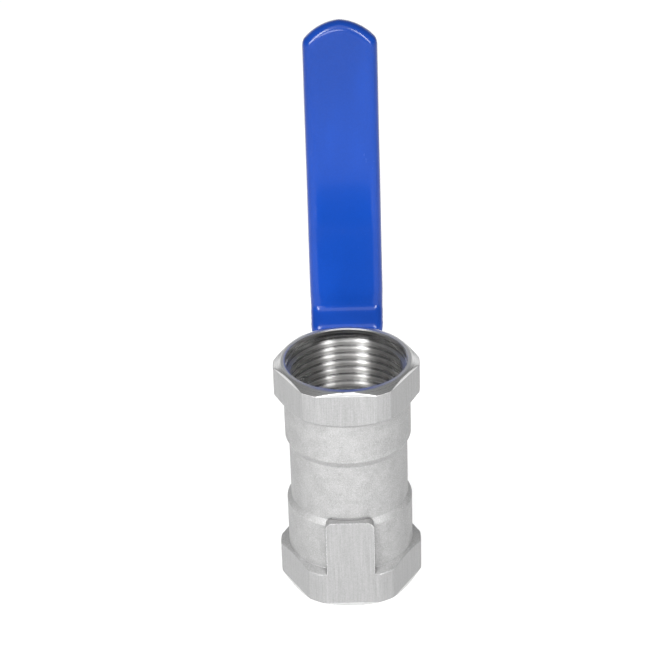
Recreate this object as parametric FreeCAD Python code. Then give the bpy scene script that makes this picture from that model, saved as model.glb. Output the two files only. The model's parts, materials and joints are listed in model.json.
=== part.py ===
# One-piece ball valve with female pipe threads at both ends and a hand lever.
#
# Millimetres, +Z up. The pipe runs along Z, with the origin at the centre of the lower end face.
# The stem points along +Y at mid length. The valve is drawn open, so the lever points along +Z.
# Names ending in _Z are heights on the pipe axis, and names ending in _Y are heights on the stem axis.
import FreeCAD, Part
import math
import os

V = FreeCAD.Vector

# ---- pipe thread, ISO 228 size G 1 ----
THREAD_MAJOR_R = 16.625
THREAD_DEPTH = 1.25  # leaves a bore of 30.75 in diameter
THREAD_PITCH = 2.309
THREAD_CREST = 0.80  # land left on the bore between two turns of the groove
THREAD_ROOT = 0.20  # flat at the bottom of the groove
THREAD_RELIEF_LENGTH = 1.5  # undercut that the thread runs out into
THREAD_RELIEF_DEPTH = 0.03  # how far the undercut is larger than the thread
MOUTH_CLEARANCE = 0.28  # counterbore in front of the thread, larger than the major radius
MOUTH_DEPTH = 2.1
LEAD_IN = 0.9  # height of the cone between the counterbore and the thread
MOUTH_CHAMFER = 0.3

# ---- flow bore, ball and seats ----
BORE_R = 8.0
BALL_RIM = 4.7  # ball radius beyond the bore
BALL_EDGE_ROUND = 0.5
SEAT_GAP = 0.1  # between the ball and each seat ring
SEAT_BORE_CLEARANCE = 0.2
SEAT_FACE = 2.6  # width of the spherical face, measured beyond the bore
SEAT_LIP = 1.0  # flat rim outside the spherical face
SEAT_WEB = 1.4  # thickness of the seat ring behind its thin edge
SEAT_POCKET_DEPTH = 2.2
CHAMBER_GAP = 0.8  # between the ball and the chamber wall
FIT = 0.05  # radial clearance of parts that are pressed or screwed together
RUNNING_FIT = 0.08  # radial clearance of parts that turn

# ---- end insert ----
INSERT_STEP = 1.1  # insert thread radius beyond the chamber
INSERT_WEB = 4.3  # thickness of the insert above its seat
INSERT_RECESS = 0.2  # how far the insert sits below the port floor
INSERT_SPIGOT = 1.0  # how far the insert reaches below its seal ring
INSERT_CHAMFER = 0.6
KEY_WALL = 1.0  # hexagon key socket, half its width beyond the bore
KEY_DEPTH = 2.6
SEAL_THICKNESS = 0.8

# ---- body ----
BODY_LENGTH = 71.0
HEX_WALL = 2.075  # from the thread's major radius to the hexagon flats
CORNER_RISE = 1.70  # from the flats to the turned corners
END_LAND = 1.55  # flat ring of the end faces, from the thread's major radius
END_CHAMFER_ANGLE = 30.0
UPPER_HEX_HEIGHT = 9.8
UPPER_HEX_BACK = 1.5  # height of the cone behind the upper hexagon
UPPER_COLLAR_WALL = 1.145
UPPER_COLLAR_LENGTH = 23.2  # from the upper end face to the lower edge of the upper collar
UPPER_COLLAR_BACK = 2.0
LOWER_HEX_HEIGHT = 10.9
LOWER_HEX_BACK = 1.1
LOWER_COLLAR_WALL = 1.285
LOWER_COLLAR_LENGTH = 26.5
LOWER_COLLAR_BACK = 1.5
LOWER_WEB = 4.3  # wall between the lower port and the lower seat
BARREL_WALL = 3.22
CAST_ROUND = 0.5
PAD_WIDTH = 13.6
PAD_HEIGHT = 28.5
PAD_ROOT = 8.0  # how deep the pad is set into the body
PAD_CORNER = 2.0

# ---- stem, along +Y ----
STEM_R = 4.5
STEM_THREAD_STEP = 0.5  # stem radius less thread radius
STEM_THREAD_PITCH = 1.25
STEM_THREAD_DEPTH = 0.68
STEM_FLATS = 5.8  # width across the two flats of the threaded end
STEM_CHAMFER = 0.7
TONGUE_THICKNESS = 4.8
TONGUE_WIDTH = 9.0
TONGUE_GAP = 0.1  # between the tongue and each side of the slot
SLOT_WEB = 1.2  # ball wall between the bore and the slot
TONGUE_END_GAP = 0.2
SHOULDER_WIDTH = 2.1  # shoulder radius less stem radius
SHOULDER_GAP = 0.25  # between the ball and the shoulder
SHOULDER_HEIGHT = 1.45
THRUST_WASHER_HEIGHT = 1.0
SHOULDER_POCKET_GAP = 0.2
NECK_HEIGHT = 2.6  # body wall between the thrust washer and the packing

# ---- packing, gland and nuts ----
PACKING_WIDTH = 3.0
PACKING_EDGE = 0.6  # height of the base ring at its edges
PACKING_RIDGE = 0.9  # rise of the V shape
PACKING_RING = 1.1  # height of one V ring
PACKING_TOP = 0.7  # top ring above its V groove
BOX_ABOVE_PACKING = 1.6
BOSS_WALL = 3.0
BOSS_FLARE = 2.1  # how far the boss widens into the body
BOSS_FLARE_LOW = 5.5  # below the boss top, where the flare is full
BOSS_FLARE_HIGH = 3.0
BOSS_CHAMFER = 0.8
GLAND_LIFT = 0.3  # between the boss and the gland flange
GLAND_FLANGE = 0.9  # flange radius beyond the packing box
GLAND_FLANGE_HEIGHT = 1.2
GLAND_CHAMFER = 0.3
SPRING_THICKNESS = 0.5
SPRING_CONE = 0.35
SPRING_WIDTH = 3.0
SPRING_GAP = 0.2  # between a disc spring and the thread
NUT_AF = 13.0
NUT_CHAMFER = 0.9
NUT_BORE_CHAMFER = 0.5
GLAND_NUT_HEIGHT = 2.8
LEVER_NUT_HEIGHT = 6.0
WASHER_THICKNESS = 1.6
WASHER_WIDTH = 2.9
WASHER_SLOT = 0.7
WASHER_SLOT_ANGLE = 25.0
STEM_END = 1.6  # stem beyond the lever nut

# ---- lever stop, cast on the boss ----
STOP_ANGLE = 225.0  # from +Z towards -X
STOP_GAP = 0.4  # between the gland flange and the stop
STOP_DEPTH = 4.0
STOP_WIDTH = 5.0
STOP_ABOVE_LEVER = 0.6
STOP_ROUND = 0.8
STOP_PLAY = 0.3  # between the stop and the sides of the lever's notch
LEVER_SWING = 90.0

# ---- lever ----
LEVER_THICKNESS = 3.0
LEVER_WIDTH = 19.0
LEVER_REACH = 113.8  # from the stem axis to the tip of the steel
LEVER_GRIP_Y = 52.1  # middle of the grip
LEVER_ROOT = 11.0  # from the stem axis to the lower bend
LEVER_RISE = 23.8  # from the stem axis to the upper bend
LEVER_BEND_R = 4.5  # at the middle of the thickness
LEVER_DISC_R = 12.0
LEVER_HOLE_GAP = 0.06
LEVER_SHOULDER = 6.0  # how far the shoulders lie below the tip
TIP_BULGE = 1.3
TIP_ROUND = 2.2
SHOULDER_ROUND = 2.8
SLEEVE_WALL = 1.5
SLEEVE_TAIL = 9.8  # length of the sleeve below the upper bend
SLEEVE_ROUND = 2.6
SLEEVE_END_ROUND = 3.2

# ---- sizes that follow ----
STEM_Z = BODY_LENGTH / 2
THREAD_MINOR_R = THREAD_MAJOR_R - THREAD_DEPTH
BALL_R = BORE_R + BALL_RIM
CHAMBER_R = BALL_R + CHAMBER_GAP
SEAT_INNER_R = BORE_R + SEAT_BORE_CLEARANCE
SEAT_FACE_R = BORE_R + SEAT_FACE
SEAT_OUTER_R = SEAT_FACE_R + SEAT_LIP
SEAT_FRONT = math.sqrt((BALL_R + SEAT_GAP) ** 2 - SEAT_FACE_R**2)
SEAT_BACK = math.sqrt((BALL_R + SEAT_GAP) ** 2 - SEAT_INNER_R**2) + SEAT_WEB
POCKET_MOUTH = SEAT_BACK - SEAT_POCKET_DEPTH
INSERT_BORE_R = CHAMBER_R + INSERT_STEP
SEAL_Z = STEM_Z + POCKET_MOUTH + INSERT_SPIGOT
INSERT_TOP_Z = STEM_Z + SEAT_BACK + INSERT_WEB
UPPER_PORT_DEPTH = BODY_LENGTH - INSERT_TOP_Z - INSERT_RECESS
LOWER_PORT_DEPTH = STEM_Z - SEAT_BACK - LOWER_WEB
HEX_FLAT_R = THREAD_MAJOR_R + HEX_WALL
HEX_CORNER_R = HEX_FLAT_R + CORNER_RISE
END_LAND_R = THREAD_MAJOR_R + END_LAND
END_CHAMFER = (HEX_CORNER_R - END_LAND_R) * math.tan(math.radians(END_CHAMFER_ANGLE))
BARREL_R = CHAMBER_R + BARREL_WALL
UPPER_COLLAR_R = max(THREAD_MAJOR_R, INSERT_BORE_R) + UPPER_COLLAR_WALL
LOWER_COLLAR_R = THREAD_MAJOR_R + LOWER_COLLAR_WALL

STEM_THREAD_R = STEM_R - STEM_THREAD_STEP
SHOULDER_R = STEM_R + SHOULDER_WIDTH
SLOT_FLOOR_Y = BORE_R + SLOT_WEB
SHOULDER_Y = BALL_R + SHOULDER_GAP
THRUST_Y = SHOULDER_Y + SHOULDER_HEIGHT
NECK_Y = THRUST_Y + THRUST_WASHER_HEIGHT
BOX_Y = NECK_Y + NECK_HEIGHT
BOX_R = STEM_R + PACKING_WIDTH
PACKING_TOP_Y = BOX_Y + PACKING_EDGE + 2 * PACKING_RING + PACKING_RIDGE + PACKING_TOP
BOSS_Y = PACKING_TOP_Y + BOX_ABOVE_PACKING
BOSS_R = BOX_R + BOSS_WALL
GLAND_Y = BOSS_Y + GLAND_LIFT
GLAND_R = BOX_R + GLAND_FLANGE
SPRING_Y = GLAND_Y + GLAND_FLANGE_HEIGHT
SPRING_HEIGHT = SPRING_THICKNESS + SPRING_CONE
GLAND_NUT_Y = SPRING_Y + 2 * SPRING_HEIGHT
LEVER_Y = GLAND_NUT_Y + GLAND_NUT_HEIGHT
WASHER_Y = LEVER_Y + LEVER_THICKNESS
LEVER_NUT_Y = WASHER_Y + WASHER_THICKNESS
STEM_TOP_Y = LEVER_NUT_Y + LEVER_NUT_HEIGHT + STEM_END
STOP_IN_R = GLAND_R + STOP_GAP
STOP_TOP_Y = WASHER_Y + STOP_ABOVE_LEVER


# ---- outlines and turned shapes ----
def in_pipe_plane(u, v):
    """A point at radius u from the pipe axis and height v on it."""
    return V(u, 0, v)


def in_stem_plane(u, v):
    """A point at radius u from the stem axis and height v on it."""
    return V(u, v, STEM_Z)


def from_the_side(u, v):
    """A point of the lever's side outline: u along the stem, v along the pipe."""
    return V(0, u, v)


def from_the_front(u, v):
    """A point of an outline seen along the stem: u across, v along the pipe."""
    return V(u, 0, v)


def outline(points, place):
    """A face inside a closed outline of (u, v) or (u, v, corner radius) points."""
    corners = []
    for i, point in enumerate(points):
        here = V(point[0], point[1], 0)
        radius = point[2] if len(point) > 2 else 0
        before = V(*points[i - 1][:2], 0) - here
        after = V(*points[(i + 1) % len(points)][:2], 0) - here
        before.normalize()
        after.normalize()
        if not radius:
            corners.append((here, None, here))
            continue
        half_angle = before.getAngle(after) / 2
        setback = radius / math.tan(half_angle)
        inward = before + after
        inward.normalize()
        crown = here + inward * (radius / math.sin(half_angle) - radius)
        corners.append((here + before * setback, crown, here + after * setback))
    edges = []
    for i, (start, crown, end) in enumerate(corners):
        if crown is not None:
            arc = [place(p.x, p.y) for p in (start, crown, end)]
            edges.append(Part.Arc(*arc).toShape())
        onward = corners[(i + 1) % len(corners)][0]
        if onward.distanceToPoint(end) > 1e-6:
            edges.append(Part.LineSegment(place(end.x, end.y), place(onward.x, onward.y)).toShape())
    return Part.Face(Part.Wire(edges))


def turned_on_pipe(points):
    """A solid of revolution about the pipe axis."""
    return outline(points, in_pipe_plane).revolve(V(0, 0, 0), V(0, 0, 1), 360)


def turned_on_stem(points):
    """A solid of revolution about the stem axis."""
    return outline(points, in_stem_plane).revolve(V(0, 0, STEM_Z), V(0, 1, 0), 360)


def ring_on_pipe(inner, outer, low, high):
    return turned_on_pipe([(inner, low), (outer, low), (outer, high), (inner, high)])


def ring_on_stem(inner, outer, low, high):
    return turned_on_stem([(inner, low), (outer, low), (outer, high), (inner, high)])


def pipe_cylinder(radius, low, high):
    return Part.makeCylinder(radius, high - low, V(0, 0, low))


def stem_cylinder(radius, low, high):
    return Part.makeCylinder(radius, high - low, V(0, low, STEM_Z), V(0, 1, 0))


def hexagon(across_flats, first_corner):
    """Corner points of a hexagon about the origin."""
    corner_r = across_flats / math.sqrt(3)
    angles = [math.radians(first_corner + 60 * i) for i in range(6)]
    return [(corner_r * math.cos(a), corner_r * math.sin(a)) for a in angles]


def hexagon_on_pipe(across_flats, low, high):
    corners = [V(x, y, low) for x, y in hexagon(across_flats, 0)]
    return Part.Face(Part.makePolygon(corners + corners[:1])).extrude(V(0, 0, high - low))


def hexagon_on_stem(across_flats, low, high):
    corners = [V(x, low, STEM_Z + z) for x, z in hexagon(across_flats, 30)]
    return Part.Face(Part.makePolygon(corners + corners[:1])).extrude(V(0, high - low, 0))


def helical_sweep(section, pitch, height, radius):
    """A closed section in the XZ plane, swept up a helix about Z that starts at the origin's height."""
    helix = Part.makeHelix(pitch, height, radius, 0)
    sweep = Part.BRepOffsetAPI.MakePipeShell(Part.Wire(helix.Edges))
    sweep.setFrenetMode(True)
    sweep.add(section)
    sweep.build()
    sweep.makeSolid()
    return sweep.shape()


# ---- body ----
def pipe_thread_groove(low, high):
    """The groove of the pipe thread between two heights, a little deeper inwards than the bore."""
    overlap = 0.3
    root_half = THREAD_ROOT / 2
    mouth_half = (THREAD_PITCH - THREAD_CREST) / 2
    flank = (mouth_half - root_half) / THREAD_DEPTH
    inner_half = mouth_half + flank * overlap
    inner_r = THREAD_MINOR_R - overlap
    corners = [
        V(inner_r, 0, -inner_half),
        V(THREAD_MAJOR_R, 0, -root_half),
        V(THREAD_MAJOR_R, 0, root_half),
        V(inner_r, 0, inner_half),
    ]
    section = Part.makePolygon(corners + corners[:1])
    groove = helical_sweep(section, THREAD_PITCH, high - low, THREAD_MINOR_R)
    groove.translate(V(0, 0, low))
    return groove


def port_cuts(depth):
    """What is cut one after the other from a lower end face at Z = 0: bore, groove, ends of the bore."""
    mouth_r = THREAD_MAJOR_R + MOUTH_CLEARANCE
    relief_r = THREAD_MAJOR_R + THREAD_RELIEF_DEPTH
    relief_z = depth - THREAD_RELIEF_LENGTH
    bore = pipe_cylinder(THREAD_MINOR_R, -1, depth)
    groove = pipe_thread_groove(-THREAD_PITCH, depth - THREAD_PITCH / 2)
    mouth = turned_on_pipe(
        [
            (0, -1),
            (mouth_r + MOUTH_CHAMFER + 1, -1),
            (mouth_r, MOUTH_CHAMFER),
            (mouth_r, MOUTH_DEPTH),
            (THREAD_MINOR_R, MOUTH_DEPTH + LEAD_IN),
            (0, MOUTH_DEPTH + LEAD_IN),
        ]
    )
    relief = turned_on_pipe(
        [
            (0, relief_z),
            (THREAD_MINOR_R, relief_z),
            (relief_r, relief_z + THREAD_DEPTH / 2),
            (relief_r, depth),
            (0, depth),
        ]
    )
    return [bore, groove, mouth, relief]


def hexagon_end(height, back, collar_r):
    """The hexagon of the lower end, with a chamfered end face and a cone behind it."""
    blank = turned_on_pipe(
        [
            (0, 0),
            (END_LAND_R, 0, CAST_ROUND),
            (HEX_CORNER_R, END_CHAMFER),
            (HEX_CORNER_R, height, CAST_ROUND),
            (collar_r, height + back),
            (0, height + back),
        ]
    )
    return blank.common(hexagon_on_pipe(2 * HEX_FLAT_R, 0, height + back))


def upside_down(shape):
    """The same shape at the other end of the body."""
    turned = shape.copy()
    turned.rotate(V(0, 0, STEM_Z), V(0, 1, 0), 180)
    return turned


def barrel():
    """The round middle of the body, with its two collars."""
    upper_edge = BODY_LENGTH - UPPER_COLLAR_LENGTH
    upper_back = upper_edge - UPPER_COLLAR_BACK
    lower_back = LOWER_COLLAR_LENGTH + LOWER_COLLAR_BACK
    return turned_on_pipe(
        [
            (0, END_CHAMFER),
            (LOWER_COLLAR_R, END_CHAMFER),
            (LOWER_COLLAR_R, LOWER_COLLAR_LENGTH, CAST_ROUND),
            (BARREL_R, lower_back, CAST_ROUND),
            (BARREL_R, upper_back, CAST_ROUND),
            (UPPER_COLLAR_R, upper_edge, CAST_ROUND),
            (UPPER_COLLAR_R, BODY_LENGTH - END_CHAMFER),
            (0, BODY_LENGTH - END_CHAMFER),
        ]
    )


def front_pad():
    """The raised pad on the front, flush with the flat of the lower hexagon."""
    half = PAD_WIDTH / 2
    face = outline(
        [
            (-half, END_CHAMFER),
            (half, END_CHAMFER),
            (half, PAD_HEIGHT, PAD_CORNER),
            (-half, PAD_HEIGHT, PAD_CORNER),
        ],
        from_the_front,
    )
    face.translate(V(0, -HEX_FLAT_R, 0))
    return face.extrude(V(0, PAD_ROOT, 0))


def stem_boss():
    return turned_on_stem(
        [
            (0, 0),
            (BOSS_R + BOSS_FLARE, 0),
            (BOSS_R + BOSS_FLARE, BOSS_Y - BOSS_FLARE_LOW, BOSS_FLARE),
            (BOSS_R, BOSS_Y - BOSS_FLARE_HIGH, BOSS_FLARE),
            (BOSS_R, BOSS_Y - BOSS_CHAMFER),
            (BOSS_R - BOSS_CHAMFER, BOSS_Y),
            (0, BOSS_Y),
        ]
    )


def stop_block(bottom, top, play, angle, outer_r):
    """The block of the lever stop, or with some play the room that it needs, at an angle."""
    half = STOP_WIDTH / 2 + play
    block = Part.makeBox(
        2 * half,
        top - bottom,
        outer_r - STOP_IN_R + play,
        V(-half, bottom, STEM_Z + STOP_IN_R - play),
    )
    block.rotate(V(0, 0, STEM_Z), V(0, -1, 0), angle)
    return block


def lever_stop():
    post = stop_block(BOSS_Y / 2, STOP_TOP_Y, 0, 0, STOP_IN_R + STOP_DEPTH)
    upright = [e for e in post.Edges if e.BoundBox.YLength > STOP_TOP_Y / 3]
    post = post.makeFillet(STOP_ROUND, upright)
    post.rotate(V(0, 0, STEM_Z), V(0, -1, 0), STOP_ANGLE)
    return post


def stem_passage():
    """The holes for the stem: shoulder pocket, neck and packing box."""
    pocket = stem_cylinder(SHOULDER_R + SHOULDER_POCKET_GAP, BORE_R, NECK_Y)
    neck = stem_cylinder(STEM_R + RUNNING_FIT, BORE_R, BOSS_Y)
    box = stem_cylinder(BOX_R, BOX_Y, BOSS_Y + 1)
    return [pocket, neck, box]


def chamber():
    """The inside between the two ports: throat, seat pocket, ball chamber and insert bore."""
    return turned_on_pipe(
        [
            (0, LOWER_PORT_DEPTH - 1),
            (BORE_R, LOWER_PORT_DEPTH - 1),
            (BORE_R, STEM_Z - SEAT_BACK),
            (SEAT_OUTER_R + FIT, STEM_Z - SEAT_BACK),
            (SEAT_OUTER_R + FIT, STEM_Z - POCKET_MOUTH),
            (CHAMBER_R, STEM_Z - POCKET_MOUTH),
            (CHAMBER_R, SEAL_Z),
            (INSERT_BORE_R + FIT, SEAL_Z),
            (INSERT_BORE_R + FIT, BODY_LENGTH - UPPER_PORT_DEPTH + 1),
            (0, BODY_LENGTH - UPPER_PORT_DEPTH + 1),
        ]
    )


def valve_body():
    lower_end = hexagon_end(LOWER_HEX_HEIGHT, LOWER_HEX_BACK, LOWER_COLLAR_R)
    upper_end = upside_down(hexagon_end(UPPER_HEX_HEIGHT, UPPER_HEX_BACK, UPPER_COLLAR_R))
    outside = barrel().fuse([lower_end, upper_end, front_pad(), stem_boss(), lever_stop()])
    outside = outside.removeSplitter()
    solid = outside.cut([chamber()] + stem_passage())
    upper_port = [upside_down(s) for s in port_cuts(UPPER_PORT_DEPTH)]
    for cut in port_cuts(LOWER_PORT_DEPTH) + upper_port:
        solid = solid.cut(cut)
    return solid


# ---- what the flow passes ----
def ball():
    sphere = Part.makeSphere(BALL_R, V(0, 0, STEM_Z))
    drilled = sphere.cut(pipe_cylinder(BORE_R, STEM_Z - 2 * BALL_R, STEM_Z + 2 * BALL_R))
    rims = [e for e in drilled.Edges if abs(e.BoundBox.XLength - 2 * BORE_R) < 0.01]
    rounded = drilled.makeFillet(BALL_EDGE_ROUND, [e for e in rims if e.BoundBox.ZLength < 0.01])
    slot_width = TONGUE_THICKNESS + 2 * TONGUE_GAP
    slot = Part.makeBox(
        4 * BALL_R, BALL_R, slot_width, V(-2 * BALL_R, SLOT_FLOOR_Y, STEM_Z - slot_width / 2)
    )
    return rounded.cut(slot)


def seat_ring():
    """The lower seat, with its spherical face towards the ball."""
    blank = ring_on_pipe(SEAT_INNER_R, SEAT_OUTER_R, STEM_Z - SEAT_BACK, STEM_Z - SEAT_FRONT)
    return blank.cut(Part.makeSphere(BALL_R + SEAT_GAP, V(0, 0, STEM_Z)))


def end_insert():
    """The screwed ring that holds the upper seat, driven by a hexagon key."""
    low = STEM_Z + POCKET_MOUTH
    blank = turned_on_pipe(
        [
            (SEAT_OUTER_R + FIT, low),
            (CHAMBER_R - FIT, low),
            (CHAMBER_R - FIT, SEAL_Z + SEAL_THICKNESS),
            (INSERT_BORE_R, SEAL_Z + SEAL_THICKNESS),
            (INSERT_BORE_R, INSERT_TOP_Z - INSERT_CHAMFER),
            (INSERT_BORE_R - INSERT_CHAMFER, INSERT_TOP_Z),
            (BORE_R, INSERT_TOP_Z),
            (BORE_R, STEM_Z + SEAT_BACK),
            (SEAT_OUTER_R + FIT, STEM_Z + SEAT_BACK),
        ]
    )
    socket = hexagon_on_pipe(2 * (BORE_R + KEY_WALL), INSERT_TOP_Z - KEY_DEPTH, INSERT_TOP_Z + 1)
    return blank.cut(socket)


def insert_seal_ring():
    return ring_on_pipe(CHAMBER_R, INSERT_BORE_R, SEAL_Z, SEAL_Z + SEAL_THICKNESS)


# ---- stem and packing ----
def flats_room(low, high, gap):
    """The part of space between the two flats of the stem's threaded end."""
    width = STEM_FLATS + 2 * gap
    length = 4 * STEM_R
    return Part.makeBox(width, high - low, length, V(-width / 2, low, STEM_Z - length / 2))


def stem_thread_groove(length):
    """The groove of the stem's outer thread, built along Z and turned on to the stem axis."""
    overlap = 0.2
    half_root = STEM_THREAD_PITCH / 16
    half_mouth = STEM_THREAD_PITCH * 7 / 16
    slope = (half_mouth - half_root) / STEM_THREAD_DEPTH
    inner_r = STEM_THREAD_R - STEM_THREAD_DEPTH
    outer_r = STEM_THREAD_R + overlap
    outer_half = half_mouth + slope * overlap
    corners = [
        V(outer_r, 0, -outer_half),
        V(outer_r, 0, outer_half),
        V(inner_r, 0, half_root),
        V(inner_r, 0, -half_root),
    ]
    section = Part.makePolygon(corners + corners[:1])
    groove = helical_sweep(section, STEM_THREAD_PITCH, length, STEM_THREAD_R)
    groove.rotate(V(0, 0, 0), V(1, 0, 0), -90)
    return groove


def stem():
    shank = turned_on_stem(
        [
            (0, SHOULDER_Y),
            (SHOULDER_R, SHOULDER_Y),
            (SHOULDER_R, THRUST_Y),
            (STEM_R, THRUST_Y),
            (STEM_R, SPRING_Y),
            (0, SPRING_Y),
        ]
    )
    end = turned_on_stem(
        [
            (0, THRUST_Y),
            (STEM_THREAD_R, THRUST_Y),
            (STEM_THREAD_R, STEM_TOP_Y - STEM_CHAMFER),
            (STEM_THREAD_R - STEM_CHAMFER, STEM_TOP_Y),
            (0, STEM_TOP_Y),
        ]
    )
    groove = stem_thread_groove(STEM_TOP_Y - SPRING_Y)
    groove.translate(V(0, SPRING_Y + STEM_THREAD_PITCH, STEM_Z))
    end = end.cut(groove).common(flats_room(0, 2 * STEM_TOP_Y, 0))
    tongue_low = SLOT_FLOOR_Y + TONGUE_END_GAP
    tongue = Part.makeBox(
        TONGUE_WIDTH,
        THRUST_Y - tongue_low,
        TONGUE_THICKNESS,
        V(-TONGUE_WIDTH / 2, tongue_low, STEM_Z - TONGUE_THICKNESS / 2),
    )
    tongue = tongue.common(stem_cylinder(SHOULDER_R, 0, STEM_TOP_Y))
    return shank.fuse([end, tongue]).removeSplitter()


def stem_thrust_washer():
    return ring_on_stem(STEM_R + RUNNING_FIT, SHOULDER_R, THRUST_Y, NECK_Y)


def packing_ring(low_edge, low_ridge, high_edge, high_ridge):
    """A packing ring whose lower and upper faces rise to a ridge at the middle of its width."""
    inner = STEM_R + RUNNING_FIT
    outer = BOX_R - FIT
    middle = (inner + outer) / 2
    return turned_on_stem(
        [
            (inner, low_edge),
            (middle, low_ridge),
            (outer, low_edge),
            (outer, high_edge),
            (middle, high_ridge),
            (inner, high_edge),
        ]
    )


def packing_rings():
    """The four packing rings from the bottom of the box upwards, by name."""
    edge = BOX_Y + PACKING_EDGE
    rings = {}
    inner = STEM_R + RUNNING_FIT
    outer = BOX_R - FIT
    middle = (inner + outer) / 2
    rings["packing_base_ring"] = turned_on_stem(
        [
            (inner, BOX_Y),
            (outer, BOX_Y),
            (outer, edge),
            (middle, edge + PACKING_RIDGE),
            (inner, edge),
        ]
    )
    for name in ("packing_v_ring_lower", "packing_v_ring_upper"):
        top = edge + PACKING_RING
        rings[name] = packing_ring(edge, edge + PACKING_RIDGE, top, top + PACKING_RIDGE)
        edge = top
    rings["packing_top_ring"] = turned_on_stem(
        [
            (inner, edge),
            (middle, edge + PACKING_RIDGE),
            (outer, edge),
            (outer, PACKING_TOP_Y),
            (inner, PACKING_TOP_Y),
        ]
    )
    return rings


def gland_bush():
    inner = STEM_R + RUNNING_FIT
    return turned_on_stem(
        [
            (inner, PACKING_TOP_Y),
            (BOX_R - FIT, PACKING_TOP_Y),
            (BOX_R - FIT, GLAND_Y),
            (GLAND_R, GLAND_Y),
            (GLAND_R, SPRING_Y - GLAND_CHAMFER),
            (GLAND_R - GLAND_CHAMFER, SPRING_Y),
            (inner, SPRING_Y),
        ]
    )


def disc_spring(low, inner_rise, outer_rise):
    """A coned washer whose inner or outer edge is raised."""
    inner = STEM_THREAD_R + SPRING_GAP
    outer = inner + SPRING_WIDTH
    return turned_on_stem(
        [
            (inner, low + inner_rise),
            (outer, low + outer_rise),
            (outer, low + outer_rise + SPRING_THICKNESS),
            (inner, low + inner_rise + SPRING_THICKNESS),
        ]
    )


def hexagon_nut(low, height):
    """A chamfered nut on the stem thread."""
    corner_r = NUT_AF / math.sqrt(3)
    slope = math.tan(math.radians(30))
    chamfer = NUT_CHAMFER * slope
    bore = STEM_THREAD_R + FIT
    high = low + height
    blank = turned_on_stem(
        [
            (bore + NUT_BORE_CHAMFER, low),
            (corner_r - NUT_CHAMFER, low),
            (corner_r, low + chamfer),
            (corner_r, high - chamfer),
            (corner_r - NUT_CHAMFER, high),
            (bore + NUT_BORE_CHAMFER, high),
            (bore, high - NUT_BORE_CHAMFER),
            (bore, low + NUT_BORE_CHAMFER),
        ]
    )
    return blank.common(hexagon_on_stem(NUT_AF, low, high))


def spring_washer():
    """A split washer, pressed flat, with its slanted cut towards -Z."""
    inner = STEM_THREAD_R + SPRING_GAP
    ring = ring_on_stem(inner, inner + WASHER_WIDTH, WASHER_Y, LEVER_NUT_Y)
    length = 3 * WASHER_THICKNESS
    cut = Part.makeBox(
        WASHER_SLOT, length, 2 * inner, V(-WASHER_SLOT / 2, -length / 2, -2 * inner)
    )
    cut.rotate(V(0, 0, 0), V(0, 0, 1), WASHER_SLOT_ANGLE)
    cut.translate(V(0, WASHER_Y + WASHER_THICKNESS / 2, STEM_Z - inner / 2))
    return ring.cut(cut)


# ---- lever ----
def bent_strip(middle_line, half_thickness, width):
    """A strip that follows points (y, z) with a bend at each inner point, as wide as stated along X."""
    points = [V(y, z, 0) for y, z in middle_line]
    directions = [(b - a).normalize() for a, b in zip(points, points[1:])]
    normals = [V(-d.y, d.x, 0) for d in directions]
    sides = []
    for side in (1, -1):
        offset = half_thickness * side
        corners = [(points[0] + normals[0] * offset, 0)]
        for i in range(1, len(points) - 1):
            turn = directions[i - 1].getAngle(directions[i])
            leftwards = directions[i - 1].cross(directions[i]).z > 0
            mitre = (normals[i - 1] + normals[i]).normalize()
            corner = points[i] + mitre * (offset / math.cos(turn / 2))
            inside = (side > 0) == leftwards
            radius = LEVER_BEND_R - half_thickness if inside else LEVER_BEND_R + half_thickness
            corners.append((corner, radius))
        corners.append((points[-1] + normals[-1] * offset, 0))
        sides.append(corners)
    ring = sides[0] + sides[1][::-1]
    face = outline([(p.x, p.y, r) for p, r in ring], from_the_side)
    face.translate(V(-width / 2, 0, 0))
    return face.extrude(V(width, 0, 0))


def gable_prism(half_width, tip_z, depth_y):
    """A prism seen along the stem as straight sides under a bulging, rounded gable."""
    shoulder_z = tip_z - LEVER_SHOULDER
    slope = math.atan2(LEVER_SHOULDER, half_width)
    bulge = V(math.sin(slope), 0, math.cos(slope)) * TIP_BULGE
    tip = V(0, 0, tip_z)
    right = V(half_width, 0, shoulder_z)
    left = V(-half_width, 0, shoulder_z)
    mirror = V(-bulge.x, 0, bulge.z)
    edges = [
        Part.Arc(right, (right + tip) / 2 + bulge, tip).toShape(),
        Part.Arc(tip, (left + tip) / 2 + mirror, left).toShape(),
        Part.LineSegment(left, V(-half_width, 0, 0)).toShape(),
        Part.LineSegment(V(-half_width, 0, 0), V(half_width, 0, 0)).toShape(),
        Part.LineSegment(V(half_width, 0, 0), right).toShape(),
    ]
    prism = Part.Face(Part.Wire(edges)).extrude(V(0, depth_y, 0))
    ridge = [e for e in prism.Edges if is_upright(e, 0, tip_z)]
    prism = prism.makeFillet(TIP_ROUND, ridge)
    sides = (half_width, -half_width)
    shoulders = [e for e in prism.Edges if any(is_upright(e, x, shoulder_z) for x in sides)]
    return prism.makeFillet(SHOULDER_ROUND, shoulders)


def is_upright(edge, x, z):
    """Whether an edge runs along Y through the given place."""
    box = edge.BoundBox
    here = abs(box.Center.x - x) < 0.01 and abs(box.Center.z - z) < 0.01
    return here and box.XLength < 0.01 and box.ZLength < 0.01


def lever_line(tail_z):
    """The lever's middle line from the tip down to the given height below the lower bend."""
    return [
        (LEVER_GRIP_Y, STEM_Z + LEVER_REACH + LEVER_WIDTH),
        (LEVER_GRIP_Y, STEM_Z + LEVER_RISE),
        (LEVER_Y + LEVER_THICKNESS / 2, STEM_Z + LEVER_ROOT),
        (LEVER_Y + LEVER_THICKNESS / 2, tail_z),
    ]


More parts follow.
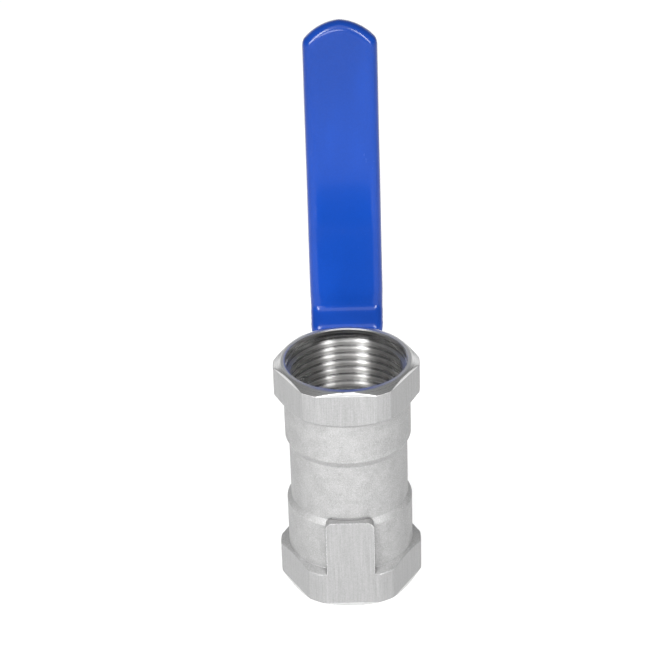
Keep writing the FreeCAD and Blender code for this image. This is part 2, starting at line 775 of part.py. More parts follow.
def stop_notch():
    """The room that the lever's disc leaves for the stop over the whole swing."""
    first = STOP_ANGLE - LEVER_SWING
    reach = 2 * LEVER_DISC_R
    low = LEVER_Y - 1
    high = WASHER_Y + 1
    ends = [stop_block(low, high, STOP_PLAY, a, reach) for a in (first, STOP_ANGLE)]
    corners = [V(0, low, STEM_Z)]
    for angle in (first, (first + STOP_ANGLE) / 2, STOP_ANGLE):
        turn = math.radians(angle)
        corners.append(V(-reach * math.sin(turn), low, STEM_Z + reach * math.cos(turn)))
    wedge = Part.Face(Part.makePolygon(corners + corners[:1])).extrude(V(0, high - low, 0))
    hub = stem_cylinder(STOP_IN_R - STOP_PLAY, low - 1, high + 1)
    return wedge.fuse(ends).cut(hub)


def lever_steel():
    """The bare bent strip with its pointed tip, as it lies under the sleeve."""
    strip = bent_strip(lever_line(STEM_Z), LEVER_THICKNESS / 2, LEVER_WIDTH)
    return strip.common(gable_prism(LEVER_WIDTH / 2, STEM_Z + LEVER_REACH, 2 * LEVER_GRIP_Y))


def lever_plate():
    disc = stem_cylinder(LEVER_DISC_R, LEVER_Y, WASHER_Y)
    hole = stem_cylinder(STEM_THREAD_R + LEVER_HOLE_GAP, LEVER_Y - 1, WASHER_Y + 1)
    hole = hole.common(flats_room(LEVER_Y - 2, WASHER_Y + 2, LEVER_HOLE_GAP))
    plate = lever_steel().fuse(disc).removeSplitter()
    return plate.cut([hole, stop_notch()])


def lever_sleeve():
    """The vinyl sleeve over the grip and the upper bend."""
    half = LEVER_THICKNESS / 2 + SLEEVE_WALL
    line = lever_line(STEM_Z)[:3]
    bend = V(*line[1], 0)
    down_crank = (V(*line[2], 0) - bend).normalize()
    tail = bend + down_crank * SLEEVE_TAIL
    width = LEVER_WIDTH + 2 * SLEEVE_WALL
    strip = bent_strip([line[0], line[1], (tail.x, tail.y)], half, width)
    prism = gable_prism(width / 2, STEM_Z + LEVER_REACH + SLEEVE_WALL, 2 * LEVER_GRIP_Y)
    outside = strip.common(prism)
    across = V(down_crank.y, -down_crank.x, 0) * half
    low_z = tail.y + abs(across.y) + 0.01
    ends = [e for e in outside.Edges if e.BoundBox.ZMax < low_z and e.BoundBox.XLength < 0.01]
    outside = outside.makeFillet(SLEEVE_END_ROUND, ends)
    rims = [e for e in outside.Edges if e.BoundBox.YLength < 0.01 and e.BoundBox.ZMax > bend.y]
    return outside.makeFillet(SLEEVE_ROUND, rims).cut(lever_steel())


def write(name, shape):
    shape.exportStep(f"parts/{name}.step")
    print(name, shape.isValid(), len(shape.Solids), round(shape.Volume, 1))


def main():
    os.makedirs("parts", exist_ok=True)
    write("valve_body", valve_body())
    write("ball", ball())
    write("seat_ring_lower", seat_ring())
    write("seat_ring_upper", upside_down(seat_ring()))
    write("end_insert", end_insert())
    write("insert_seal_ring", insert_seal_ring())
    write("stem", stem())
    write("stem_thrust_washer", stem_thrust_washer())
    for name, ring in packing_rings().items():
        write(name, ring)
    write("gland_bush", gland_bush())
    write("disc_spring_lower", disc_spring(SPRING_Y, SPRING_CONE, 0))
    write("disc_spring_upper", disc_spring(SPRING_Y + SPRING_HEIGHT, 0, SPRING_CONE))
    write("gland_nut", hexagon_nut(GLAND_NUT_Y, GLAND_NUT_HEIGHT))
    write("lever_plate", lever_plate())
    write("lever_sleeve", lever_sleeve())
    write("spring_washer", spring_washer())
    write("lever_nut", hexagon_nut(LEVER_NUT_Y, LEVER_NUT_HEIGHT))


main()
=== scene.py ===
"""Looks of a one-piece ball valve with hexagon ends and a vinyl-dipped hand lever.

Every size is in metres unless its name ends in _mm. The pipe runs along Z and the stem along +Y.
"""

import json
import math

import bmesh
import bpy
from mathutils import Matrix, Vector, noise


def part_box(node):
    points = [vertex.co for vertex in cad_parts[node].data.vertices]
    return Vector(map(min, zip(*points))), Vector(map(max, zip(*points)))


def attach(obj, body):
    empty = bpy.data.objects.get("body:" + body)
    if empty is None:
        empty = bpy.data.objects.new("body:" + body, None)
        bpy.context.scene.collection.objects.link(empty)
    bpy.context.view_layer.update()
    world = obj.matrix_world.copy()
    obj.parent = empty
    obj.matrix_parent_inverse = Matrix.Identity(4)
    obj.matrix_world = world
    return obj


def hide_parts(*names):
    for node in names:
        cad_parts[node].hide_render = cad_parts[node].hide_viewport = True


bl_info = {
    "name": "Hexagon ball valve",
    "version": (1, 0, 0),
    "blender": (4, 5, 0),
    "location": "3D View > Sidebar > Ball valve",
    "description": "Builds the finished surfaces of a threaded ball valve around its packed model",
    "category": "Object",
}

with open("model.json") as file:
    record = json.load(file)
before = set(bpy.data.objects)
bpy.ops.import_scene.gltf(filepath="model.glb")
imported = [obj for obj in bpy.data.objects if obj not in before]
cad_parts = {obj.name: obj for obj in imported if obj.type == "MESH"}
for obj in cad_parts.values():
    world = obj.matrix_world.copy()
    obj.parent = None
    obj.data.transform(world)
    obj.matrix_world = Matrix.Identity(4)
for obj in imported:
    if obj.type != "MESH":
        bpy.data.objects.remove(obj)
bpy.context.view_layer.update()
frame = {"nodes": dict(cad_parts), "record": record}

MM = 0.001
BODY_LOW, BODY_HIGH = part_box("valve_body")
INSERT_LOW, INSERT_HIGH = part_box("end_insert")
SLEEVE_LOW, SLEEVE_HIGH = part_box("lever_sleeve")
BODY_LENGTH = BODY_HIGH.z - BODY_LOW.z
BODY_MIDDLE = (BODY_HIGH.z + BODY_LOW.z) / 2
FLAT_R = -BODY_LOW.y
CORNER_R = BODY_HIGH.x
MOUNTS = {mount["name"]: mount for mount in frame["record"]["mounts"]}
THREAD_CREST_R = MOUNTS["upper_port"]["dims"]["r_mm"] * MM
THREAD_LENGTH = MOUNTS["upper_port"]["dims"]["length_mm"] * MM

THREAD_START = 2.1 * MM  # from an end face to the first of the ridge
THREAD_END_EXTRA = 3.0 * MM  # a thread's inner end is this much deeper than its length
RUN_OUT = 0.9 * MM  # the ridge goes on this much past the inner end
INSERT_GAP = 0.3 * MM  # from the end insert to the plain wall of the upper port
LOWER_WALL_DEPTH = 19.9 * MM  # depth of the plain wall of the lower port

# A machined finish starts and is full at these distances short of its limit, in millimetres.
FLAT_BAND_MM = (0.30, 0.12)
CORNER_BAND_MM = (0.25, 0.1)
HEXAGON_BAND_MM = (12, 11.5)
END_BAND_MM = (1.4, 1.25)
FACE_BAND_MM = (0.12, 0.06)
PORT_BAND_MM = (19, 18.9)
WALL_MARGIN_MM = 0.4  # the bored finish reaches this far behind the port wall

# Points that lie this close together are joined.
NODE_WELD = 1e-6
CUT_WELD = 2e-6
RIDGE_WELD = 1e-7
SWELL_PER_METRE = (90, 90, 45)  # how fast the sleeve's unevenness changes along X, Y and Z
PTFE_TONES = ((0.86, 0.85, 0.82, 1.0), (0.93, 0.92, 0.89, 1.0))


# ---- properties ----
class VALVE_PG_casting(bpy.types.PropertyGroup):
    """Sizes and colours of the cast body."""

    edge_round: bpy.props.FloatProperty(
        name="Edge rounding",
        description="Radius worn onto the edges of the casting",
        default=0.22 * MM,
        min=0.0,
        unit="LENGTH",
    )
    sharpest: bpy.props.FloatProperty(
        name="Edge angle",
        description="Edges that turn by more than this are rounded",
        default=math.radians(17),
        subtype="ANGLE",
    )
    port_wall: bpy.props.FloatProperty(
        name="Port wall radius",
        description="Radius of the plain wall that the thread ridges stand on",
        default=16.72 * MM,
        unit="LENGTH",
    )
    mouth_depth: bpy.props.FloatProperty(
        name="Mouth depth",
        description="Depth of the plain counterbore in front of each thread",
        default=2.15 * MM,
        unit="LENGTH",
    )
    colour: bpy.props.FloatVectorProperty(
        name="Blasted steel",
        description="Colour of the blasted skin",
        subtype="COLOR",
        size=3,
        default=(0.240, 0.240, 0.239),
    )
    cut_colour: bpy.props.FloatVectorProperty(
        name="Machined steel",
        description="Colour of the brushed hexagons and pad",
        subtype="COLOR",
        size=3,
        default=(0.228, 0.228, 0.228),
    )
    turned_colour: bpy.props.FloatVectorProperty(
        name="Turned ends",
        description="Colour of the turned end faces",
        subtype="COLOR",
        size=3,
        default=(0.56, 0.56, 0.56),
    )
    bored_colour: bpy.props.FloatVectorProperty(
        name="Bored ports",
        description="Colour of the port walls between the thread ridges",
        subtype="COLOR",
        size=3,
        default=(0.36, 0.36, 0.36),
    )
    # Reach of the painted shade: the blasted skin is painted darker this far from a crease.
    crease_shade_reach: bpy.props.FloatProperty(
        name="Crease reach",
        description="How far from a crease the blasted skin is darker",
        default=1.1 * MM,
        unit="LENGTH",
    )
    # Reach of the worn outer edges. These are made smoother as real wear and painted brighter as a
    # painted edge highlight.
    wear_and_glint_reach: bpy.props.FloatProperty(
        name="Worn edge reach",
        description="How far from an outer edge the steel is worn bright",
        default=0.36 * MM,
        unit="LENGTH",
    )


class VALVE_PG_thread(bpy.types.PropertyGroup):
    """Sizes and colour of the pipe threads."""

    pitch: bpy.props.FloatProperty(
        name="Pitch",
        description="Distance between two turns",
        default=2.309 * MM,
        unit="LENGTH",
    )
    crest: bpy.props.FloatProperty(
        name="Crest width",
        description="Width of a ridge at its top",
        default=0.42 * MM,
        unit="LENGTH",
    )
    root: bpy.props.FloatProperty(
        name="Root width",
        description="Width of a ridge at the wall",
        default=2.24 * MM,
        unit="LENGTH",
    )
    crest_round: bpy.props.FloatProperty(
        name="Crest rounding",
        description="Radius on the two edges of a ridge",
        default=0.14 * MM,
        unit="LENGTH",
    )
    steps: bpy.props.IntProperty(
        name="Steps in a turn",
        description="How many straight steps make one turn",
        default=96,
        min=24,
        max=256,
    )
    colour: bpy.props.FloatVectorProperty(
        name="Turned steel",
        description="Colour of the turned threads",
        subtype="COLOR",
        size=3,
        default=(0.50, 0.496, 0.49),
    )


class VALVE_PG_lever(bpy.types.PropertyGroup):
    """Sizes and colours of the lever and its sleeve."""

    skin: bpy.props.FloatProperty(
        name="Skin grid",
        description="Size of the even grid that the sleeve is made of",
        default=0.55 * MM,
        min=0.3 * MM,
        unit="LENGTH",
    )
    tip_width: bpy.props.FloatProperty(
        name="Width at the tip",
        description="Width of the sleeve at its tip, as a share of its width at the bend",
        default=0.965,
        min=0.9,
        max=1.0,
    )
    bend_rise: bpy.props.FloatProperty(
        name="Bend height",
        description="Height of the bend above the lower end of the sleeve",
        default=8.2 * MM,
        unit="LENGTH",
    )
    bend_reach: bpy.props.FloatProperty(
        name="Bend reach",
        description="How far above and below the bend the skin is thickened",
        default=6.0 * MM,
        unit="LENGTH",
    )
    bend_fill: bpy.props.IntProperty(
        name="Bend fill",
        description="How much the vinyl fills the inside of the bend",
        default=34,
        min=0,
    )
    sag: bpy.props.FloatProperty(
        name="Unevenness",
        description="How far the dipped skin wanders from flat",
        default=0.05 * MM,
        unit="LENGTH",
    )
    vinyl: bpy.props.FloatVectorProperty(
        name="Vinyl",
        description="Colour of the sleeve",
        subtype="COLOR",
        size=3,
        default=(0.0026, 0.030, 0.200),
    )
    scuff: bpy.props.FloatVectorProperty(
        name="Scuffs",
        description="Colour of the scuffed spots on the sleeve",
        subtype="COLOR",
        size=3,
        default=(0.04, 0.08, 0.27),
    )
    steel: bpy.props.FloatVectorProperty(
        name="Sheet steel",
        description="Colour of the bare lever",
        subtype="COLOR",
        size=3,
        default=(0.56, 0.56, 0.55),
    )


class VALVE_PG_stage(bpy.types.PropertyGroup):
    """Camera, floor and lights."""

    distance: bpy.props.FloatProperty(
        name="Camera distance",
        description="From the camera to the point that it looks at",
        default=0.5528,
        unit="LENGTH",
    )
    elevation: bpy.props.FloatProperty(
        name="Camera elevation",
        description="Angle of the camera above the horizon",
        default=math.radians(28.76),
        subtype="ANGLE",
    )
    azimuth: bpy.props.FloatProperty(
        name="Camera azimuth",
        description="Angle of the camera to the right of the front",
        default=math.radians(1.4),
        subtype="ANGLE",
    )
    roll: bpy.props.FloatProperty(
        name="Camera roll",
        description="Turn of the camera about its own line of sight",
        default=math.radians(-1.917),
        subtype="ANGLE",
    )
    focus: bpy.props.FloatVectorProperty(
        name="Look at",
        description="Point that the camera looks at",
        size=3,
        subtype="TRANSLATION",
        default=(-0.00551, 0.0, 0.08166),
    )
    lens: bpy.props.FloatProperty(
        name="Focal length",
        description="Focal length on a 36 mm sensor, in millimetres",
        default=111.54,
    )
    floor_size: bpy.props.FloatProperty(
        name="Floor size",
        description="Side of the square floor",
        default=60.0,
        unit="LENGTH",
    )
    floor_colour: bpy.props.FloatVectorProperty(
        name="Floor",
        description="Colour of the floor",
        subtype="COLOR",
        size=3,
        default=(0.35, 0.35, 0.35),
    )
    floor_glow: bpy.props.FloatProperty(
        name="Floor glow",
        description="Light that comes through the floor, as on a light table",
        default=0.68,
    )
    sky: bpy.props.FloatProperty(
        name="Sky",
        description="Strength of the even light from all around",
        default=0.30,
    )


SETTINGS = {
    "valve_casting": VALVE_PG_casting,
    "valve_thread": VALVE_PG_thread,
    "valve_lever": VALVE_PG_lever,
    "valve_stage": VALVE_PG_stage,
}


# ---- shader maths ----
class Wire:
    """One output of a shader node. Arithmetic on it adds Math nodes."""

    def __init__(self, paint, socket):
        self.paint = paint
        self.socket = socket

    def maths(self, operation, *values):
        return self.paint.node(
            "ShaderNodeMath", {"operation": operation}, dict(enumerate(values))
        )

    def __add__(self, other):
        return self.maths("ADD", self, other)

    def __sub__(self, other):
        return self.maths("SUBTRACT", self, other)

    def __rsub__(self, other):
        return self.maths("SUBTRACT", other, self)

    def __mul__(self, other):
        return self.maths("MULTIPLY", self, other)

    def __abs__(self):
        return self.maths("ABSOLUTE", self)

    __radd__ = __add__
    __rmul__ = __mul__

    def larger(self, other):
        return self.maths("MAXIMUM", self, other)

    def root(self):
        return self.maths("SQRT", self)

    def rise(self, start, end):
        """0 up to start, 1 from end on, and smooth between them."""
        return self.paint.node(
            "ShaderNodeMapRange",
            {"interpolation_type": "SMOOTHSTEP"},
            {"Value": self, "From Min": start, "From Max": end},
        )


class Paint:
    """A material and the nodes in it."""

    def __init__(self, name):
        self.material = bpy.data.materials.new(name)
        self.material.use_nodes = True
        self.tree = self.material.node_tree
        self.tree.nodes.clear()
        place = self.node("ShaderNodeTexCoord", {}, {}, "Object")
        self.mm = self.node(
            "ShaderNodeVectorMath", {"operation": "SCALE"}, {0: place, "Scale": 1 / MM}
        )

    def node(self, kind, settings, sockets, output=0):
        """Adds a node, with its settings first and then the values or links of its sockets."""
        node = self.tree.nodes.new(kind)
        for key, value in settings.items():
            setattr(node, key, value)
        for key, value in sockets.items():
            if isinstance(value, Wire):
                self.tree.links.new(value.socket, node.inputs[key])
            else:
                node.inputs[key].default_value = value
        return Wire(self, node.outputs[output])

    def axis(self, index):
        """X, Y or Z of the place on the object, in millimetres."""
        return self.node("ShaderNodeSeparateXYZ", {}, {0: self.mm}, index)

    def stretched(self, x, y, z):
        """The place in millimetres, with each axis multiplied by a number."""
        return self.node(
            "ShaderNodeVectorMath", {"operation": "MULTIPLY"}, {0: self.mm, 1: (x, y, z)}
        )

    def in_rings(self, across, beside, along, radial, axial):
        """Radius and height as a place, so that a pattern on it runs in rings about an axis."""
        radius = (across * across + beside * beside).root()
        return self.node(
            "ShaderNodeCombineXYZ", {}, {0: radius * radial, 1: 0.0, 2: along * axial}
        )

    def around_pipe(self, radial, axial):
        return self.in_rings(self.axis(0), self.axis(1), self.axis(2), radial, axial)

    def around_stem(self, radial, axial):
        above_stem = self.axis(2) - BODY_MIDDLE / MM
        return self.in_rings(self.axis(0), above_stem, self.axis(1), radial, axial)

    def noise(self, place, scale, detail=2.0, rough=0.5):
        return self.node(
            "ShaderNodeTexNoise",
            {"noise_dimensions": "3D"},
            {"Vector": place, "Scale": scale, "Detail": detail, "Roughness": rough},
        )

    def blend(self, share, first, second):
        """A colour between two colours."""
        return self.node(
            "ShaderNodeMix",
            {"data_type": "RGBA"},
            {"Factor": share, 6: first, 7: second},
            2,
        )

    def bump(self, height, strength, distance):
        return self.node(
            "ShaderNodeBump", {}, {"Height": height, "Strength": strength, "Distance": distance}
        )

    def finish(self, **sockets):
        """Adds the surface shader and the output, and returns the material."""
        names = {key.replace("_", " "): value for key, value in sockets.items()}
        surface = self.node("ShaderNodeBsdfPrincipled", {}, names)
        out = self.tree.nodes.new("ShaderNodeOutputMaterial")
        self.tree.links.new(surface.socket, out.inputs["Surface"])
        return self.material


# ---- materials ----
def shade(colour, factor):
    """A colour multiplied by a number."""
    return tuple(channel * factor for channel in colour) + (1.0,)


def near_limit(value, limit, band):
    """0 up to the first distance of band short of limit, and 1 from the second on."""
    return value.rise(limit - band[0], limit - band[1])


def machined_shares(paint, settings):
    """1 on the brushed hexagons and pad, 1 on the turned ends, and 1 in the ports; else 0."""
    x, y, z = paint.axis(0), paint.axis(1), paint.axis(2)
    slant = math.cos(math.radians(30))
    flats = abs(y)
    for side in (slant, -slant):
        flats = flats.larger(abs(x * side + y * 0.5))
    radius = (x * x + y * y).root()
    from_middle = abs(z - BODY_MIDDLE / MM)
    half = BODY_LENGTH / MM / 2
    on_flat = near_limit(flats, FLAT_R / MM, FLAT_BAND_MM)
    on_corner = near_limit(radius, CORNER_R / MM, CORNER_BAND_MM)
    on_corner = on_corner * near_limit(from_middle, half, HEXAGON_BAND_MM)
    on_end = near_limit(from_middle, half, END_BAND_MM)
    below_face = 1 - near_limit(from_middle, half, FACE_BAND_MM)
    inside_wall = settings.port_wall / MM + WALL_MARGIN_MM - radius
    in_port = inside_wall.rise(0.0, 0.05) * near_limit(from_middle, half, PORT_BAND_MM)
    return on_flat.larger(on_corner), on_end, in_port * below_face


def casting_paint(settings):
    paint = Paint("blasted_casting")
    brushed, faced, bored = machined_shares(paint, settings)
    turned = faced.larger(bored)
    brushed = brushed * (1 - turned)
    skin_share = 1 - brushed.larger(turned)
    grit = paint.noise(paint.mm, 3.6, 3.0, 0.65)
    pores = paint.noise(paint.mm, 2.2, 2.0, 0.6)
    patches = paint.noise(paint.mm, 0.30, 3.0, 0.60)
    strokes = paint.noise(paint.stretched(5.0, 5.0, 0.10), 1.0, 3.0, 0.6)
    rings = paint.noise(paint.around_pipe(5.0, 5.0), 1.0, 2.0, 0.7)
    grooves = paint.noise(paint.around_pipe(2.8, 2.8), 1.0, 2.0, 0.6)
    tone = patches.rise(0.30, 0.70) * 0.30 + grit.rise(0.30, 0.70) * 0.70
    skin = paint.blend(tone, shade(settings.colour, 0.74), shade(settings.colour, 1.24))
    skin = paint.blend(
        pores.rise(0.58, 0.68) * 0.40, skin, shade(settings.colour, 1.5)
    )
    milled = paint.blend(
        strokes.rise(0.25, 0.75) * 0.5 + grit.rise(0.30, 0.70) * 0.5,
        shade(settings.cut_colour, 0.74),
        shade(settings.cut_colour, 1.22),
    )
    faced_tone = paint.blend(
        rings, shade(settings.turned_colour, 0.9), shade(settings.turned_colour, 1.1)
    )
    bored_tone = paint.blend(
        rings, shade(settings.bored_colour, 0.8), shade(settings.bored_colour, 1.2)
    )
    colour = paint.blend(brushed, skin, milled)
    colour = paint.blend(bored, paint.blend(faced, colour, faced_tone), bored_tone)
    # Painted shade: ambient occlusion finds the creases, and the blasted skin is painted darker
    # there.
    crease = paint.node(
        "ShaderNodeAmbientOcclusion",
        {"samples": 12},
        {"Distance": settings.crease_shade_reach},
        "AO",
    )
    rim = paint.node(
        "ShaderNodeAmbientOcclusion",
        {"samples": 8, "inside": True, "only_local": True},
        {"Distance": settings.wear_and_glint_reach},
        "AO",
    )
    # Worn outer edges: the lower roughness is real wear, and the brighter colour is a painted edge
    # highlight.
    wear_and_glint = (1 - rim).rise(0.14, 0.45) * (1 - turned) * pores.rise(0.36, 0.58)
    # Painted shade in creases, varied by the pores.
    painted_crease_shade = (1 - crease).rise(0.10, 0.45) * skin_share * (pores * 0.5 + 0.6)
    colour = paint.blend(painted_crease_shade, colour, shade(settings.colour, 0.25))
    colour = paint.blend(wear_and_glint * 0.8, colour, shade(settings.cut_colour, 2.3))
    roughness = (
        (patches * 0.10 + 0.47) * skin_share + (strokes * 0.10 + 0.36) * brushed
    ) + (rings * 0.06 + 0.17) * turned + faced * 0.08 - wear_and_glint * 0.12
    height = (grit * 1.3 + pores * 1.2) * skin_share + strokes * brushed * 0.22
    height = height + rings * faced * 0.2 + grooves * bored * 2.6
    return paint.finish(
        Base_Color=colour,
        Metallic=turned * 0.65 + 0.35,
        Roughness=roughness,
        Normal=paint.bump(height, 0.60, 0.05 * MM),
    )


def turned_paint(name, colour, rings, roughness, groove, lay=0.0):
    """Bright turned metal whose tool marks run in rings, and spread gloss across the rings."""
    paint = Paint(name)
    place = getattr(paint, rings)
    fine = paint.noise(place(5.0, 5.0), 1.0, 2.0, 0.7)
    coarse = paint.noise(place(1.1, 1.1), 1.0, 2.0, 0.5)
    stain = paint.noise(paint.mm, 0.35, 3.0, 0.6)
    streak = paint.noise(place(2.8, 2.8), 1.0, 2.0, 0.6)
    tone = fine.rise(0.25, 0.75) * 0.6 + stain.rise(0.3, 0.7) * 0.4
    return paint.finish(
        Base_Color=paint.blend(tone, shade(colour, 0.84), shade(colour, 1.08)),
        Metallic=1.0,
        Roughness=coarse * 0.10 + (roughness - 0.05),
        Anisotropic=lay,
        Anisotropic_Rotation=0.25,
        Normal=paint.bump(fine * 0.4 + streak, 1.0, groove),
    )


def vinyl_paint(settings):
    paint = Paint("dipped_vinyl")
    z = paint.axis(2)
    tip_mm = SLEEVE_HIGH.z / MM
    cloud = paint.noise(paint.stretched(1, 1, 0.35), 0.09, 2.0, 0.5)
    scuff = paint.noise(paint.stretched(1.0, 1.0, 0.45), 0.85, 3.0, 0.65).rise(0.66, 0.78)
    scuff = scuff * paint.noise(paint.mm, 0.11, 1.0, 0.5).rise(0.50, 0.62)
    peel = paint.noise(paint.stretched(1, 1, 0.6), 0.55, 2.0, 0.5)
    speck = paint.noise(paint.mm, 2.2, 2.0, 0.6)
    # Painted shade: the sleeve is painted darker towards its tip, and cloud and speck add random
    # tone.
    tip_shade_and_mottle = z.rise(tip_mm - 46, tip_mm - 4) * 0.50 + cloud.rise(0.35, 0.65) * 0.30
    tip_shade_and_mottle = tip_shade_and_mottle + speck.rise(0.30, 0.70) * 0.20
    colour = paint.blend(tip_shade_and_mottle, shade(settings.vinyl, 1.08), shade(settings.vinyl, 0.72))
    colour = paint.blend(scuff * 0.22, colour, shade(settings.scuff, 1))
    return paint.finish(
        Base_Color=colour,
        Roughness=cloud * 0.08 + scuff * 0.15 + 0.16,
        Specular_IOR_Level=0.20,
        Coat_Weight=0.26,
        Coat_IOR=1.3,
        Coat_Roughness=0.09,
        Normal=paint.bump(peel, 0.35, 0.06 * MM),
    )


def sheet_paint(settings):
    paint = Paint("rolled_sheet_steel")
    grain = paint.noise(paint.stretched(4.0, 4.0, 0.12), 1.0, 3.0, 0.6)
    stain = paint.noise(paint.mm, 0.25, 4.0, 0.6)
    tone = grain * 0.6 + stain * 0.4
    return paint.finish(
        Base_Color=paint.blend(
            tone.rise(0.35, 0.65), shade(settings.steel, 0.80), shade(settings.steel, 1.12)
        ),
        Metallic=1.0,
        Roughness=grain * 0.18 + 0.26,
        Normal=paint.bump(grain, 0.5, 0.02 * MM),
    )


def ptfe_paint():
    paint = Paint("turned_ptfe")
    rings = paint.noise(paint.around_pipe(3.0, 3.0), 1.0, 2.0, 0.5)
    return paint.finish(
        Base_Color=paint.blend(rings, *PTFE_TONES),
        Roughness=rings * 0.1 + 0.42,
        Subsurface_Weight=0.1,
        Subsurface_Radius=(0.002, 0.002, 0.002),
        Normal=paint.bump(rings, 0.3, 0.02 * MM),
    )


# ---- meshes ----
def direction(azimuth, elevation):
    """Unit vector at an azimuth to the right of the front and an elevation, in radians."""
    return Vector(
        (
            math.sin(azimuth) * math.cos(elevation),
            -math.cos(azimuth) * math.cos(elevation),
            math.sin(elevation),
        )
    )


def add_piece(name, mesh):
    piece = bpy.data.objects.new(name, mesh)
    bpy.context.scene.collection.objects.link(piece)
    return piece


def mesh_of(shape, name):
    """A plain mesh with only the points and faces of a bmesh, which is freed."""
    mesh = bpy.data.meshes.new(name)
    shape.verts.index_update()
    points = [vert.co.copy() for vert in shape.verts]
    faces = [[vert.index for vert in face.verts] for face in shape.faces]
    shape.free()
    mesh.from_pydata(points, [], faces)
    return mesh


def welded(mesh, within):
    """A bmesh of a mesh, with the points that lie this close together joined."""
    shape = bmesh.new()
    shape.from_mesh(mesh)
    bmesh.ops.remove_doubles(shape, verts=shape.verts, dist=within)
    return shape


def joined_copy(node, name):
    """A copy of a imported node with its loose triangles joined."""
    return add_piece(name, mesh_of(welded(frame["nodes"][node].data, NODE_WELD), name))


def applied(piece):
    """Turns the result of a piece's modifiers into its own plain mesh."""
    graph = bpy.context.evaluated_depsgraph_get()
    mesh = bpy.data.meshes.new_from_object(piece.evaluated_get(graph))
    piece.modifiers.clear()
    piece.data = mesh
    return piece


def made_whole(piece):
    """Joins the triangles that lie in one plane."""
    shape = welded(piece.data, CUT_WELD)
    bmesh.ops.dissolve_limit(
        shape, angle_limit=math.radians(0.6), verts=shape.verts, edges=shape.edges
    )
    piece.data = mesh_of(shape, piece.name)
    return piece


def eased(piece, width, sharpest):
    """Rounds the sharp edges of a piece that have room for it, and smooths the rest."""
    shape = bmesh.new()
    shape.from_mesh(piece.data)
    room = 1.25 * width
    roomy = {
        face: face.calc_area() / max(edge.calc_length() for edge in face.edges) > room
        for face in shape.faces
    }
    sharp = [
        edge
        for edge in shape.edges
        if edge.calc_face_angle(0) > sharpest
        and edge.calc_length() > 1.5 * width
        and all(roomy[face] for face in edge.link_faces)
    ]
    bmesh.ops.bevel(
        shape,
        geom=sharp,
        offset=width,
        segments=2,
        profile=0.5,
        affect="EDGES",
        clamp_overlap=False,
    )
    piece.data = mesh_of(shape, piece.name)
    return smoothed(piece, math.radians(32))


def smoothed(piece, angle):
    piece.data.shade_smooth()
    piece.data.set_sharp_from_angle(angle=angle)
    weights = piece.modifiers.new("even_light", "WEIGHTED_NORMAL")
    weights.keep_sharp = True
    weights.weight = 60
    return applied(piece)


def cylinder(name, radius, low, high):
    shape = bmesh.new()
    bmesh.ops.create_cone(
        shape, cap_ends=True, segments=160, radius1=radius, radius2=radius, depth=high - low
    )
    bmesh.ops.translate(shape, verts=shape.verts, vec=(0, 0, (low + high) / 2))
    return add_piece(name, mesh_of(shape, name))


def fit_out(piece, material, body, slot, *nodes):
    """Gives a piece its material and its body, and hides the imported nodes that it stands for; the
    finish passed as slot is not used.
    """
    piece.data.materials.clear()
    piece.data.materials.append(material)
    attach(piece, body)
    if nodes:
        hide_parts(*nodes)
    return piece


